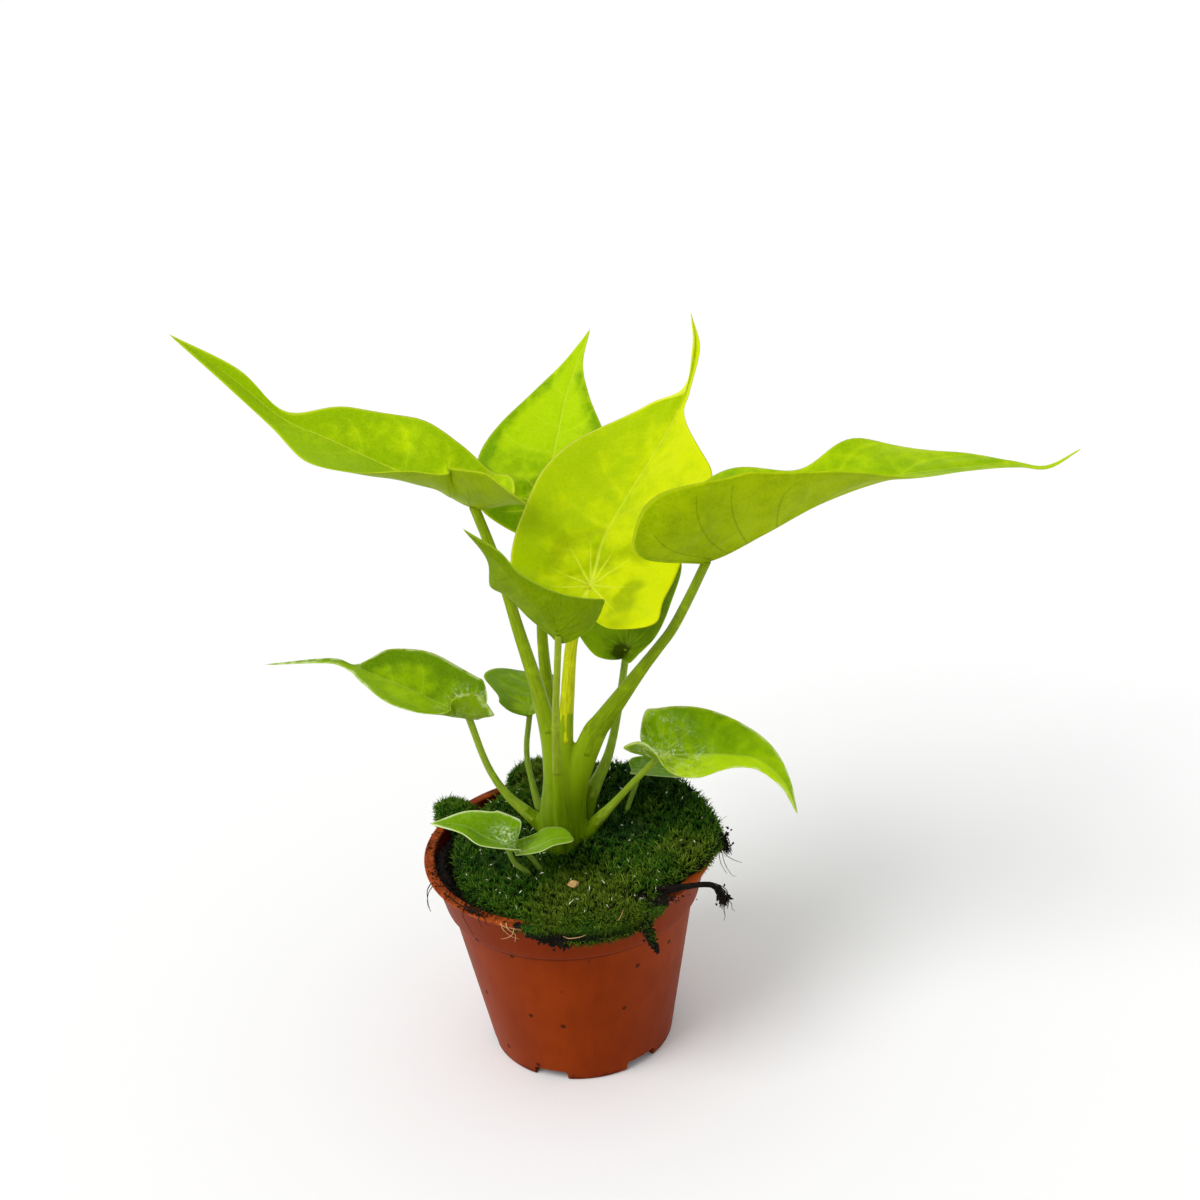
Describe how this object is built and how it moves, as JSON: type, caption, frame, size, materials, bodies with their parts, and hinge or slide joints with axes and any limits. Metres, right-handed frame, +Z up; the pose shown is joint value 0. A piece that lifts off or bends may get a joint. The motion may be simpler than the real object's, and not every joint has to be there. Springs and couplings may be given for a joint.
{
  "type": "potted golden alocasia cucullata",
  "caption": "Small golden aroid house plant in a round tapered nursery pot, with heart-shaped tipped leaves on slender stalks and a cushion of moss over the soil.",
  "frame": {"origin": "on the pot's axis, in the plane that the pot stands on, at the centre of the pad under its base", "axes": "+Z is up along the pot's axis; -Y is the plant's front; +X is to the right as seen from the front"},
  "size_m": [0.2637, 0.1328, 0.2292],
  "materials": {
    "pot": "satin",
    "soil": "matte",
    "moss": "matte",
    "crown": "satin",
    "stalk": "satin",
    "leaf_gold": "satin",
    "leaf_green": "satin",
    "leaf_deep": "satin",
    "leaf_young": "satin",
    "stone": "matte",
    "root": "matte"
  },
  "bodies": {
    "root": {"pot": "pot", "soil": "soil", "crown": "crown", "moss_main": "moss", "moss_left": "moss", "moss_back": "moss", "leaf_left_high_stalk": "stalk", "leaf_left_high_blade": "leaf_gold", "leaf_back_stalk": "stalk", "leaf_back_blade": "leaf_gold", "leaf_centre_stalk": "stalk", "leaf_centre_blade": "leaf_gold", "leaf_right_high_stalk": "stalk", "leaf_right_high_blade": "leaf_gold", "leaf_front_stalk": "stalk", "leaf_front_blade": "leaf_green", "leaf_behind_stalk": "stalk", "leaf_behind_blade": "leaf_deep", "leaf_left_low_stalk": "stalk", "leaf_left_low_blade": "leaf_green", "leaf_back_low_stalk": "stalk", "leaf_back_low_blade": "leaf_deep", "leaf_right_low_stalk": "stalk", "leaf_right_low_blade": "leaf_green", "leaf_moss_tip_stalk": "stalk", "leaf_moss_tip_blade": "leaf_young", "leaf_moss_round_stalk": "stalk", "leaf_moss_round_blade": "leaf_young", "leaf_moss_hidden_stalk": "stalk", "leaf_moss_hidden_blade": "leaf_young", "stone": "stone", "root_upper": "root", "root_lower": "root"}
  },
  "joints": []
}
